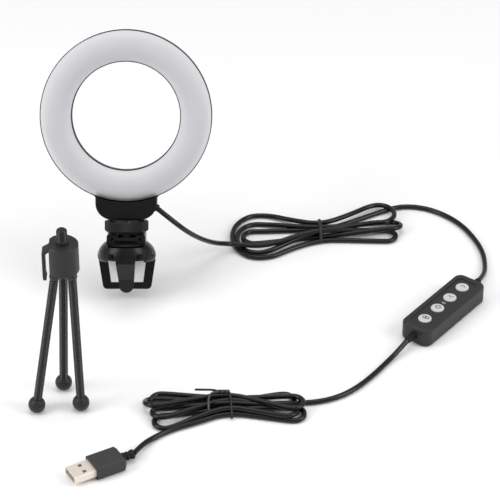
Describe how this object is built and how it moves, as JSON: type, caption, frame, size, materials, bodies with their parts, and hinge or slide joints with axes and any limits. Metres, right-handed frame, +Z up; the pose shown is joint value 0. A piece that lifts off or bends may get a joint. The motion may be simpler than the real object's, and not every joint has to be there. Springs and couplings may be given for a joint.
{
  "type": "ring light",
  "caption": "USB selfie ring light on a sprung screen clamp, with a lead, in-line button controller, plug and a bendy mini tripod.",
  "frame": {"origin": "the lid seat: the middle of the clamp's jaw mouth, where a screen's top edge bears, 29.5 mm over the table", "axes": "+Z up, along the tripod screw; the light leans back 28 degrees about X, as on an open lid, and its lit face looks to -Y and up"},
  "size_m": [0.2783, 0.2809, 0.1522],
  "materials": {
    "black_housing": "fine matt moulded",
    "milky_cover": "milky satin",
    "board_green": "solder mask",
    "led_yellow": "phosphor",
    "white_sheet": "matt white",
    "soft_rubber": "soft matt",
    "brass": "turned",
    "black_steel": "black oxide",
    "screw_steel": "plated",
    "knurled_black": "ribbed matt",
    "satin_black": "satin moulded",
    "grey_pad": "pale grip pad",
    "spring_steel": "drawn wire",
    "cord_black": "smooth glossy sheath",
    "controller_grey": "fine matt",
    "button_silver": "pale silver",
    "indicator": "clear",
    "plug_metal": "plated shell",
    "plug_white": "insulator",
    "contact_gold": "gold flash",
    "tripod_grey": "semi-matt",
    "leg_black": "ribbed sleeve"
  },
  "bodies": {
    "head": {"rear_housing": "black_housing", "neck_cover": "black_housing", "housing_screws": "screw_steel", "diffuser": "milky_cover", "led_board": "board_green", "led_chips": "led_yellow", "reflector_ring": "white_sheet", "neck_gland": "soft_rubber", "threaded_insert": "brass", "neck_washer": "soft_rubber", "cord_lead_1": "cord_black", "cord_lead_2": "cord_black", "cord_lead_3": "cord_black", "cord_lead_4": "cord_black", "cord_hank_1": "cord_black", "cord_hank_2": "cord_black", "cord_tie_1": "soft_rubber", "cord_tie_2": "soft_rubber", "controller_bottom": "controller_grey", "controller_top": "controller_grey", "button_panel": "controller_grey", "indicator_lens": "indicator", "controller_board": "board_green", "switch_domes": "spring_steel", "controller_screws": "screw_steel", "relief_far": "soft_rubber", "relief_near": "soft_rubber", "plug_overmold": "cord_black", "plug_shell": "plug_metal", "plug_tongue": "plug_white", "plug_contacts": "contact_gold", "plug_strain_relief": "soft_rubber"},
    "adapter": {"mount_stud": "screw_steel", "shoe_foot": "black_steel"},
    "lock_wheel": {"lock_wheel": "knurled_black"},
    "clamp": {"cold_shoe": "satin_black", "shoe_screws": "screw_steel", "clamp_body": "satin_black", "rear_jaw_frame": "satin_black", "rear_jaw_pad": "grey_pad", "clamp_hinge_pin": "screw_steel", "clamp_spring": "spring_steel"},
    "jaw": {"front_jaw": "satin_black", "front_jaw_pad": "grey_pad"},
    "tripod": {"tripod_head": "tripod_grey", "tripod_base": "tripod_grey", "tripod_screw": "black_steel", "tripod_clip": "tripod_grey"},
    "button_1": {"button_1": "button_silver"},
    "button_2": {"button_2": "button_silver"},
    "button_3": {"button_3": "button_silver"},
    "button_4": {"button_4": "button_silver"},
    "leg_1": {"tripod_leg_1": "leg_black", "tripod_foot_1": "tripod_grey"},
    "leg_2": {"tripod_leg_2": "leg_black", "tripod_foot_2": "tripod_grey"},
    "leg_3": {"tripod_leg_3": "leg_black", "tripod_foot_3": "tripod_grey"}
  },
  "joints": [
    {"name": "head_swivel", "type": "hinge", "parent": "head", "child": "adapter", "pos_m": [0, 0.0108, 0.02031], "axis": [0, 0.4695, 0.8829], "continuous": true},
    {"name": "wheel_spin", "type": "hinge", "parent": "adapter", "child": "lock_wheel", "pos_m": [0, 0.00845, 0.01589], "axis": [0, 0.4695, 0.8829], "continuous": true},
    {"name": "shoe_slide", "type": "slide", "parent": "adapter", "child": "clamp", "axis": [0, -0.8829, 0.4695], "range_m": [0, 0.018]},
    {"name": "jaw_hinge", "type": "hinge", "parent": "clamp", "child": "jaw", "pos_m": [0, -0.00392, 0.00435], "axis": [-1, 0, 0], "range_deg": [-12, 22], "stiffness_Nm_per_rad": 0.06},
    {"name": "button_1_press", "type": "slide", "parent": "head", "child": "button_1", "axis": [0, 0, -1], "range_m": [0, 0.0004], "stiffness_N_per_m": 250},
    {"name": "button_2_press", "type": "slide", "parent": "head", "child": "button_2", "axis": [0, 0, -1], "range_m": [0, 0.0004], "stiffness_N_per_m": 250},
    {"name": "button_3_press", "type": "slide", "parent": "head", "child": "button_3", "axis": [0, 0, -1], "range_m": [0, 0.0004], "stiffness_N_per_m": 250},
    {"name": "button_4_press", "type": "slide", "parent": "head", "child": "button_4", "axis": [0, 0, -1], "range_m": [0, 0.0004], "stiffness_N_per_m": 250},
    {"name": "tripod_lift", "type": "slide", "parent": "head", "child": "tripod", "axis": [0, 0, 1], "range_m": [0, 0.12]},
    {"name": "leg_1_bend", "type": "hinge", "parent": "tripod", "child": "leg_1", "pos_m": [-0.03494, -0.10963, 0.0631], "axis": [-0.4695, 0.8829, 0], "range_deg": [-4, 30]},
    {"name": "leg_2_bend", "type": "hinge", "parent": "tripod", "child": "leg_2", "pos_m": [-0.02506, -0.10963, 0.0631], "axis": [-0.4695, -0.8829, 0], "range_deg": [-4, 30]},
    {"name": "leg_3_bend", "type": "hinge", "parent": "tripod", "child": "leg_3", "pos_m": [-0.03049, -0.10142, 0.0631], "axis": [0.9962, 0.0872, 0], "range_deg": [-4, 30]}
  ]
}
